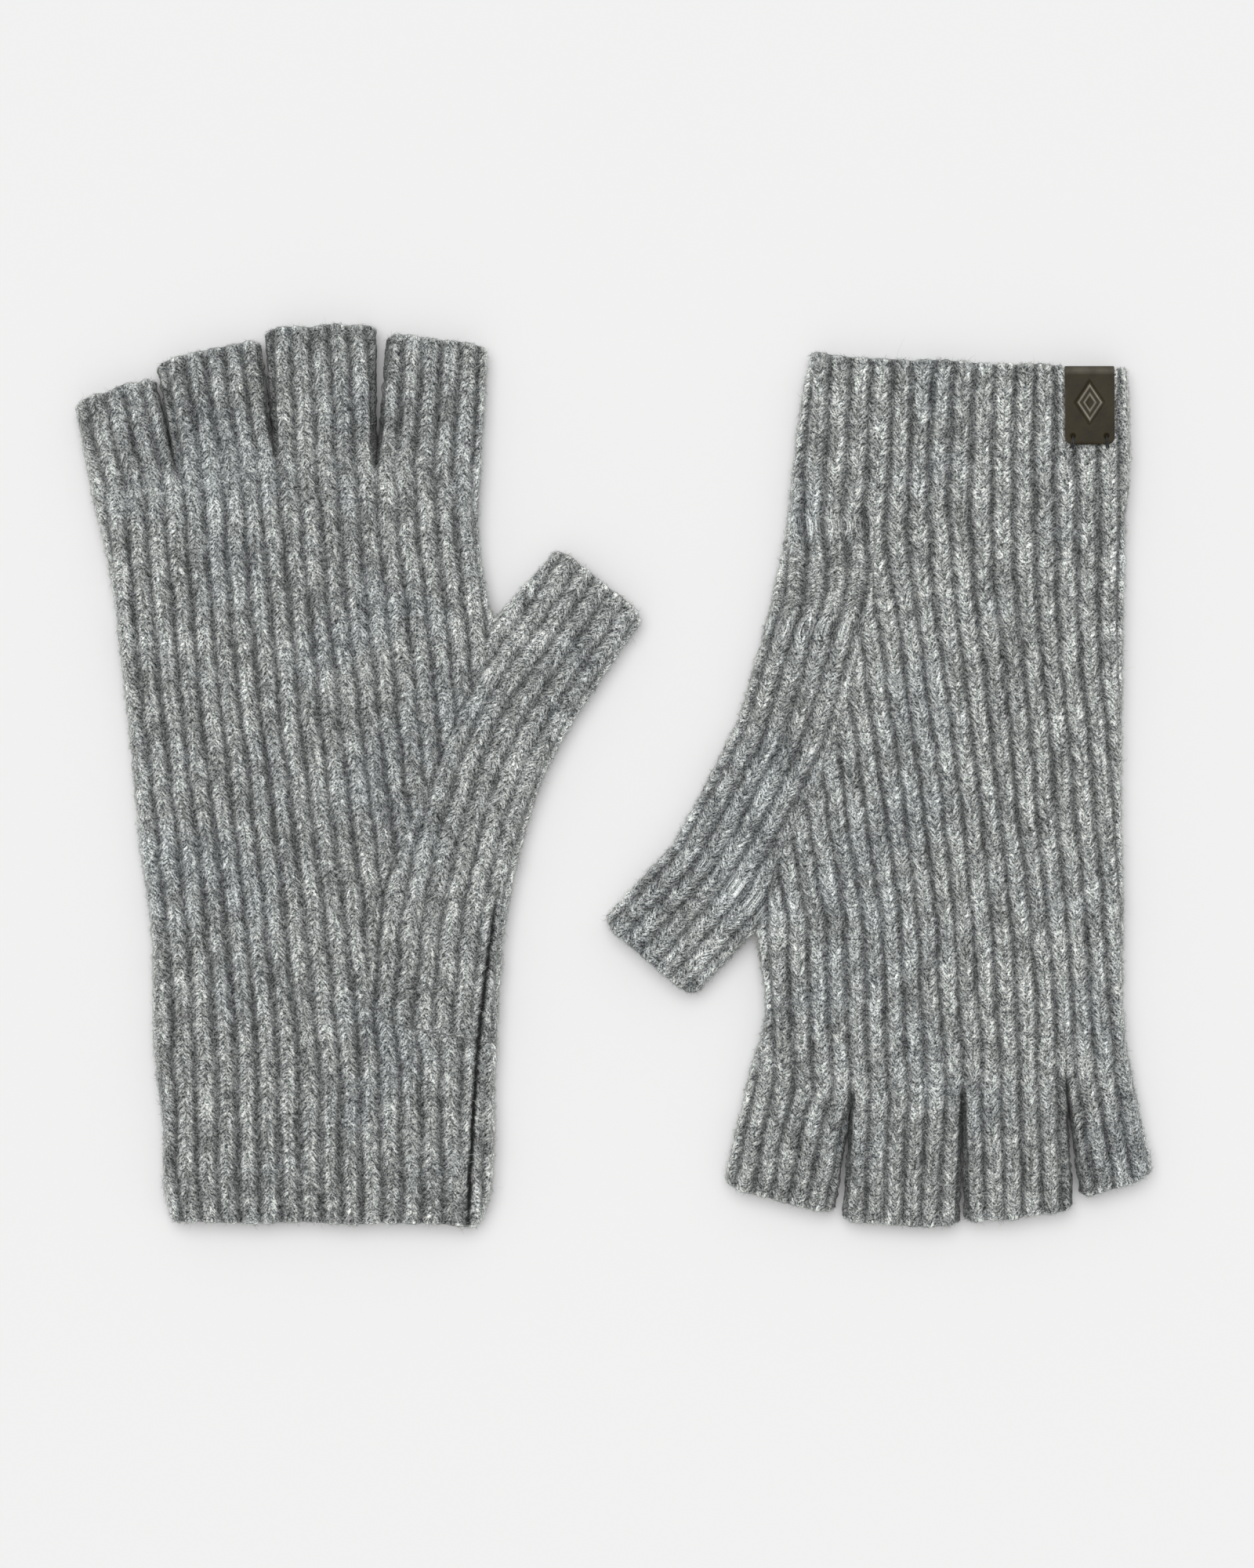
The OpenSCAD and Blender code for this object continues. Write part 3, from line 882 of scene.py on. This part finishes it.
class Nodes:
    """A material's node tree, with short ways to add nodes and join them."""

    def __init__(self, name, **numbers):
        """numbers are the shader's sockets that are the same all over the surface."""
        self.material = bpy.data.materials.new(name)
        self.material.use_nodes = True
        self.tree = self.material.node_tree
        self.shader = self.tree.nodes["Principled BSDF"]
        for key, value in numbers.items():
            self.shader.inputs[key.replace("_", " ")].default_value = value

    def add(self, kind, props=None, **inputs):
        node = self.tree.nodes.new(kind)
        for key, value in (props or {}).items():
            setattr(node, key, value)
        for key, value in inputs.items():
            self.put(node.inputs[key.replace("_", " ")], value)
        return node

    def put(self, socket, value):
        if isinstance(value, bpy.types.NodeSocket):
            self.tree.links.new(value, socket)
        else:
            socket.default_value = value

    def where(self):
        return self.add("ShaderNodeTexCoord").outputs["Object"]

    def attribute(self, name):
        return self.add("ShaderNodeAttribute", {"attribute_name": name}).outputs["Vector"]

    def split(self, vector):
        node = self.add("ShaderNodeSeparateXYZ")
        self.put(node.inputs[0], vector)
        return node.outputs

    def math(self, operation, a, b):
        node = self.add("ShaderNodeMath", {"operation": operation})
        for socket, value in enumerate((a, b)):
            self.put(node.inputs[socket], value)
        return node.outputs[0]

    def line(self, value, slope, start):
        """start + slope * value"""
        return self.math("ADD", self.math("MULTIPLY", value, slope), start)

    def blend(self, *pairs):
        """The sum of values, each times its weight."""
        total, *rest = (self.math("MULTIPLY", *pair) for pair in pairs)
        for term in rest:
            total = self.math("ADD", total, term)
        return total

    def noise(self, vector, scale, detail=2.0, rough=0.5, curl=0.0):
        return self.add("ShaderNodeTexNoise", None, Scale=scale, Detail=detail, Roughness=rough,
                        Distortion=curl, Vector=vector).outputs["Fac"]

    def stretch(self, vector, scale):
        return self.add("ShaderNodeMapping", None, Scale=scale, Vector=vector).outputs["Vector"]

    def ramp(self, factor, stops):
        """Stops are places with a colour each, or with one number for a grey."""
        node = self.add("ShaderNodeValToRGB", None, Fac=factor)
        while len(node.color_ramp.elements) < len(stops):
            node.color_ramp.elements.new(0.5)
        for element, (at, colour) in zip(node.color_ramp.elements, stops):
            element.position = at
            element.color = (*(colour if isinstance(colour, tuple) else (colour,) * 3), 1)
        return node.outputs["Color"]

    def mix(self, kind, factor, a, b):
        node = self.add("ShaderNodeMix", {"data_type": "RGBA", "blend_type": kind})
        for socket, value in ((0, factor), (6, a), (7, b)):
            self.put(node.inputs[socket], value)
        return node.outputs[2]

    def surface(self, colour, roughness, height=None, strength=1.0, distance=0.0):
        """Joins colour, roughness and, where it has one, bump to the shader."""
        self.put(self.shader.inputs["Base Color"], colour)
        self.put(self.shader.inputs["Roughness"], roughness)
        if height is not None:
            bump = self.add("ShaderNodeBump", None, Strength=strength, Distance=distance, Height=height)
            self.put(self.shader.inputs["Normal"], bump.outputs["Normal"])
        return self.material


def wool_material():
    """Grey heather wool: fibres along each stitch's legs, flecks, clouds, painted shade in the troughs and
    gaps, and painted light on crests and rims.
    """
    n = Nodes("heather_wool", Specular_IOR_Level=0.12, Sheen_Weight=0.12, Sheen_Roughness=0.6,
              Sheen_Tint=(0.95, 0.96, 0.96, 1))
    crest, tone, dark = n.split(n.attribute("knit"))
    yarn = n.attribute("yarn")
    where = n.where()
    hair = n.noise(n.stretch(yarn, (0.9, 2.9, 1.0)), 1.0, 1.0, 0.6, 0.5)
    fleck = n.noise(where, 2400, 1.0, 0.6, 0.5)
    strand = n.noise(n.stretch(yarn, (0.4, 0.8, 0.21)), 1.0, 2.0, 0.5)
    cloud = n.noise(n.stretch(where, (1.0, 0.45, 1.0)), 210, 2.0, 0.55)
    grain = n.blend((hair, 0.52), (fleck, 0.48))
    # Light and dark heather fibres, with painted tiny shadows among them.
    colour = n.ramp(grain, [
        (0.37, (0.032, 0.035, 0.036)), (0.44, (0.163, 0.174, 0.176)),
        (0.50, (0.370, 0.385, 0.381)), (0.56, (0.602, 0.617, 0.600)), (0.65, (0.92, 0.918, 0.865))])
    blue = n.ramp(n.noise(where, 40), [(0.45, 1), (0.68, (0.84, 0.90, 0.96))])
    level = n.blend((strand, 0.4), (cloud, 0.45), (tone, 0.15))
    shade = n.ramp(level, [(0.38, 0.54), (0.63, 1.48)])
    # Painted shade in the troughs and in the holes between the legs, and painted light on the crests of
    # ribs and legs.
    painted_rib_shade = n.ramp(crest, [
        (0.0, (0.38, 0.385, 0.39)), (0.35, (0.74, 0.745, 0.75)),
        (0.78, (1.03, 1.035, 1.03)), (1.0, (1.27, 1.275, 1.265))])
    # Painted shade and light from the knit's third channel: near black in the finger gaps and the seam's
    # groove, lighter on the outer sides and the mouths' rims.
    deep = n.ramp(dark, [(0.0, 0.06), (0.5, 1.0), (1.0, (1.65, 1.65, 1.63))])
    for factor, layer in ((0.45, blue), (1.0, shade), (1.0, painted_rib_shade), (1.0, deep)):
        colour = n.mix("MULTIPLY", factor, colour, layer)
    return n.surface(colour, n.line(hair, 0.2, 0.78), grain, 1.0, 0.0009)


def fluff_material():
    """The loose fibres, from dark to pale with each fibre's own tone."""
    n = Nodes("wool_fibre", Specular_IOR_Level=0.3)
    colour = n.ramp(n.split(n.attribute("knit"))[1], [
        (0.0, (0.15, 0.156, 0.158)), (0.25, (0.40, 0.411, 0.408)), (1.0, (0.80, 0.80, 0.775))])
    return n.surface(colour, n.line(n.noise(n.where(), 900), 0.2, 0.6))


def leather_material():
    """Dark olive-brown leather with a fine grain, lighter where the edges are scuffed, with painted
    highlights there, on the fold and beside the pressed diamond.
    """
    n = Nodes("dark_leather", Specular_IOR_Level=0.16)
    where = n.where()
    pores = n.add("ShaderNodeTexVoronoi", None, Scale=1900.0, Vector=where).outputs["Distance"]
    patch = n.noise(where, 210, 3.0, 0.6)
    dark = n.ramp(patch, [(0.3, (0.017, 0.0125, 0.005)), (0.7, (0.036, 0.028, 0.012))])
    pale = n.ramp(patch, [(0.3, (0.16, 0.145, 0.115)), (0.7, (0.36, 0.335, 0.28))])
    # The pale colour is partly scuffing and partly painted highlight.
    colour = n.mix("MIX", n.split(n.attribute("scuff_and_highlight"))[0], dark, pale)
    grain = n.blend((pores, 0.6), (n.noise(where, 1300, 3.0, 0.6), 0.5))
    return n.surface(colour, n.line(patch, 0.25, 0.24), grain, 0.25, 0.0002)


def thread_material():
    """Black thread with a fine twist."""
    n = Nodes("black_thread")
    twist = n.add("ShaderNodeTexWave", None, Scale=900.0, Distortion=1.5, Vector=n.where())
    twist = twist.outputs["Fac"]
    colour = n.ramp(twist, [(0.0, (0.006, 0.006, 0.007)), (1.0, (0.035, 0.034, 0.036))])
    return n.surface(colour, n.line(twist, 0.2, 0.45), twist, 0.4, 0.0001)


def floor_material():
    n = Nodes("pale_floor", Roughness=0.9, Specular_IOR_Level=0.1)
    tint = n.ramp(n.noise(n.where(), 3.0), [(0.0, 0.865), (1.0, 0.875)])
    n.put(n.shader.inputs["Base Color"], tint)
    return n.material


# ---- camera, light and floor ----

VIEW_CENTRE = (0.0031, -0.0024)
VIEW_LONG = 0.420          # what the picture's long side covers, at the gloves' height
VIEW_HEIGHT = 1.5
GLOVE_TOP = 0.007
SENSOR = 36.0
SKY_COLOUR = (1.0, 1.0, 0.995, 1)
SKY_STRENGTH = 0.585
KEY_ENERGY = 1.42
KEY_ANGLE = 55             # degrees across, which gives the soft shadow
KEY_TURN = (-16, -8, 0)
FLOOR_HALF = 9


def set_stage():
    scene = bpy.context.scene
    camera = bpy.data.cameras.new("camera")
    camera.sensor_width = SENSOR
    camera.lens = SENSOR * (VIEW_HEIGHT - GLOVE_TOP) / VIEW_LONG
    camera.clip_start = 0.01
    scene.camera = add_object("camera", camera, (*VIEW_CENTRE, VIEW_HEIGHT))
    scene.view_settings.view_transform = "Standard"
    world = bpy.data.worlds.new("studio")
    world.use_nodes = True
    sky = world.node_tree.nodes["Background"].inputs
    sky["Color"].default_value = SKY_COLOUR
    sky["Strength"].default_value = SKY_STRENGTH
    scene.world = world
    key = bpy.data.lights.new("soft_key", "SUN")
    key.energy = KEY_ENERGY
    key.angle = math.radians(KEY_ANGLE)
    add_object("soft_key", key, (0, 0, 1)).rotation_euler = np.radians(KEY_TURN)
    corners = [(-1, -1, 0), (1, -1, 0), (1, 1, 0), (-1, 1, 0)]
    floor = make_mesh("floor", np.array(corners) * FLOOR_HALF, [np.array([[0, 1, 2, 3]])],
                      materials=(floor_material(),))


# ---- the gloves ----


def world_point(g, x, y):
    return tuple(to_world(g, np.array([[x, y, CAD_MID_Z]]))[0].tolist())


def side_marks(g, plans):
    """Which points of each plan grid lie on a side or a gap of the tube."""
    marks = {}
    for name, grid in plans.items():
        edges = np.zeros(grid.shape[:2], bool)
        edges[:, 0] = name != "gusset"
        edges[:, -1] = name != "hand"
        marks[name] = edges
    crotch_row = plans["gusset"].shape[0] - 1
    marks["hand"][crotch_row:, -1] = True
    marks["gusset"][-1, 0] = True
    for corner in g["crotches"]:
        gap = np.linalg.norm(plans["hand"][-1] - np.asarray(corner), axis=1)
        marks["hand"][-1, gap.argmin()] = True
    return marks


def knit_glove(side, g, wool, fluff):
    rng = np.random.default_rng(g["seed"])
    plan(g)
    plans = grids(g)
    marks = side_marks(g, plans)

    def piece(name, parts, mouth, out_dir, *nodes):
        patches = [(part, plans[part], marks[part]) for part in parts]
        obj = fabric_piece(g, name, patches, mouth, out_dir, wool, fluff, rng)
        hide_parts(*nodes)
        return obj

    hand_body = side + "_hand"
    hand = piece(side + "_hand_knit", ["hand", "gusset"], None, None,
                 side + "_hand", side + "_thumb_gusset", side + "_hand_seam")
    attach(hand, hand_body)
    cuff = piece(side + "_cuff_knit", ["cuff"], "first", (0, -1), side + "_cuff", side + "_cuff_seam")
    reach = BORDER_Y - WRIST_Y - 0.5
    world_point(g, 0, WRIST_Y + reach)
    world_point(g, 0, WRIST_Y - reach)
    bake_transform(cuff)
    for name, d in g["digits"].items():
        body = side + "_thumb" if name == "thumb" else f"{side}_{name}_finger"
        tube_piece = piece(body + "_knit", [name], "last", d["ahead"], body)
        start, end = (d["root"] + d["ahead"] * (HINGE_IN + reach) for reach in (-3.4, 3.6))
        world_point(g, *start)
        world_point(g, *end)
        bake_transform(tube_piece)


# ---- the leather tab and its stitches ----


def tab_height(y):
    """Height of the knit's crests under the tab."""
    return 2 * (HALF_H - 0.1 - END_FLAT * (1 - ease(y / MOUTH_RUN))) + (1 + TAB_PRESS * 0.85) * RELIEF


def ring_points(rows, count):
    """Each point of all rows of a ring but the last, and its neighbour in the ring."""
    ring = np.arange(count)
    start = np.arange(rows - 1)[:, None] * count
    return (start + ring).ravel(), (start + (ring + 1) % count).ravel()


def tab_path():
    """The tab's middle line in y and z: over the knit, round the mouth and back inside."""
    turn = np.linspace(0, math.pi, 15)[1:-1]
    ys = np.linspace(TAB_END, TAB_START, 110)
    top = np.column_stack([ys, tab_height(ys) - 0.1])
    fold_r = (top[-1, 1] - TAB_INNER_Z) / 2
    fold = np.column_stack([
        TAB_START - TAB_CORNER * np.sin(turn), top[-1, 1] - fold_r + fold_r * np.cos(turn)])
    inner = np.column_stack([ys[::-1], np.full(len(ys), TAB_INNER_Z)])
    return np.vstack([top, fold, inner])


def tab_section(cols):
    """The tab's cross-section: x in mm, and -1 to 1 through its thickness."""
    half = TAB_W / 2 - TAB_BEVEL
    across_tab = np.linspace(-half, half, cols + 1)
    points = [(x, 1.0) for x in across_tab]
    for a in np.radians(np.linspace(60, -60, 5)):
        points.append((half + TAB_BEVEL * math.cos(a), math.sin(a)))
    points += [(x, -1.0) for x in across_tab[::-1]]
    for a in np.radians(np.linspace(-120, -240, 5)):
        points.append((-half + TAB_BEVEL * math.cos(a), math.sin(a)))
    return np.array(points)


def tab_marks(x, y, face):
    """How deep the diamond and the holes are pressed at a row of the tab, and where it gets painted
    highlights beside the diamond's lines.
    """
    u = np.abs(x) / MARK_SIZE[0]
    w = abs(y - MARK_Y) / MARK_SIZE[1]
    press = 0.32 * (bell(u + w - 1, 0.12) + bell(u + w, 0.4, 4))
    for side in (-1, 1):
        press += 0.6 * bell(np.hypot(x - side * HOLE_GAP / 2, y - HOLE_Y), 0.6, 4)
    # Painted highlights beside the diamond's pressed line and round its pressed middle.
    wear_and_highlight = bell(u + w - 0.85, 0.07) + 0.8 * bell(u + w - 0.42, 0.07)
    return press * face, wear_and_highlight * face


def tab_caps(rows, cols, count):
    """The faces that close the tab's two ends: quads between its faces, fans in its edges."""
    turned = (count - 2 * (cols + 1)) // 2
    under = 2 * cols + 1 + turned
    edges = [list(range(cols, cols + turned + 2)), [*range(under, count), 0]]
    quads = [[k, k + 1, under - k - 1, under - k] for k in range(cols)]
    tris = [[loop[0], loop[k], loop[k + 1]] for loop in edges for k in range(1, len(loop) - 1)]
    last = (rows - 1) * count
    return [np.vstack([np.array(faces), np.array(faces)[:, ::-1] + last]) for faces in (quads, tris)]


def leather_tab(g, leather):
    """The tab: a strip folded over the cuff's mouth, rounded at its ends and edges."""
    cols = 84
    half = TAB_W / 2
    path = tab_path()
    run = run_of(path)
    tangent = unit(np.gradient(path, axis=0))
    out = np.column_stack([tangent[:, 1], -tangent[:, 0]])
    out *= np.sign(out[0, 1])
    section = tab_section(cols)
    through = section[:, 1]
    face = through > 0.5
    verts = []
    scuff_and_highlight = []
    for (y, z), (out_y, out_z), end in zip(path, out, np.minimum(run, run[-1] - run)):
        cut = TAB_CORNER - math.sqrt(max(TAB_CORNER**2 - max(TAB_CORNER - end, 0) ** 2, 0))
        pinch = 1 - cut / half
        x = section[:, 0] * pinch
        thick = TAB_THICK / 2 * (1 - 0.45 * math.exp(-end / 0.25))
        press = np.zeros(len(x))
        if z > 6 and y > TAB_START:
            press, wear_and_highlight = tab_marks(x, y, face)
        else:
            # A painted highlight along the top of the fold.
            wear_and_highlight = np.full(len(x), 0.3 * bell(y - TAB_START + 1.2, 0.9) * (z > 6))
        # The edges are lighter: scuffed, and with a painted highlight.
        wear_and_highlight = wear_and_highlight + 0.5 * bell(np.abs(x) - half * pinch, 0.12)
        off = through * thick - press
        scuff_and_highlight.append(np.column_stack([np.clip(wear_and_highlight, 0, 1), np.zeros((len(x), 2))]))
        verts.append(np.column_stack([
            TAB_X + half + x, y + out_y * off, z + TAB_THICK / 2 + out_z * off]))
    rows, count = len(path), len(section)
    i, j = ring_points(rows, count)
    caps, fans = tab_caps(rows, cols, count)
    quads = np.stack([i, i + count, j + count, j], 1)
    return make_mesh("label_leather", to_world(g, np.vstack(verts)), [quads, caps, fans],
                     attributes={"scuff_and_highlight": np.vstack(scuff_and_highlight)}, materials=(leather,))


def tube(path, radius, sides=10):
    """A round thread along a path, closed at both ends."""
    tangent = unit(np.gradient(path, axis=0))
    a = unit(np.cross(tangent, (1.0, 0, 0)))[:, None]
    b = np.cross(tangent, a[:, 0])[:, None]
    angle = (2 * math.pi * np.arange(sides) / sides)[None, :, None]
    ring = path[:, None] + (a * np.cos(angle) + b * np.sin(angle)) * radius
    rows = len(path)
    i, j = ring_points(rows, sides)
    quads = np.stack([i, j, j + sides, i + sides], 1)
    first, last = rows * sides, rows * sides + 1
    end = (rows - 1) * sides
    tris = [[first, (k + 1) % sides, k] for k in range(sides)]
    tris += [[last, end + k, end + (k + 1) % sides] for k in range(sides)]
    return np.vstack([ring.reshape(-1, 3), path[:1], path[-1:]]), quads, np.array(tris)


def tab_stitches(g, thread):
    """Two short stitches of black thread, from a hole over the end of the tab into the knit."""
    u = np.linspace(0, 1, 22)
    y = HOLE_Y + (TAB_END + 1.7 - HOLE_Y) * u
    rise = np.interp(u, [0, 0.12, 0.3, 0.62, 0.8, 1], [0.05, 0.75, 1.05, 1.0, 0.35, -0.9])
    z = tab_height(HOLE_Y) - 0.1 + rise
    tubes = []
    for side in (-1, 1):
        for strand in (-0.22, 0.22):
            x = TAB_X + TAB_W / 2 + side * HOLE_GAP / 2 + strand * (0.5 + u) + side * 0.35 * u
            tubes.append(tube(np.column_stack([x, y, z]), 0.21))
    verts, *faces = zip(*tubes)
    faces = [np.vstack([f + k * len(verts[0]) for k, f in enumerate(kind)]) for kind in faces]
    return make_mesh("label_thread", to_world(g, np.vstack(verts)), faces, materials=(thread,))


set_stage()
wool = wool_material()
fluff = fluff_material()
for side, glove in GLOVES.items():
    knit_glove(side, glove, wool, fluff)
tab = leather_tab(GLOVES["left"], leather_material())
tab_thread = tab_stitches(GLOVES["left"], thread_material())
for obj, node, slot in ((tab, "label_tab", "leather"), (tab_thread, "label_stitches", "thread")):
    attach(obj, "left_cuff")
    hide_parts(node)
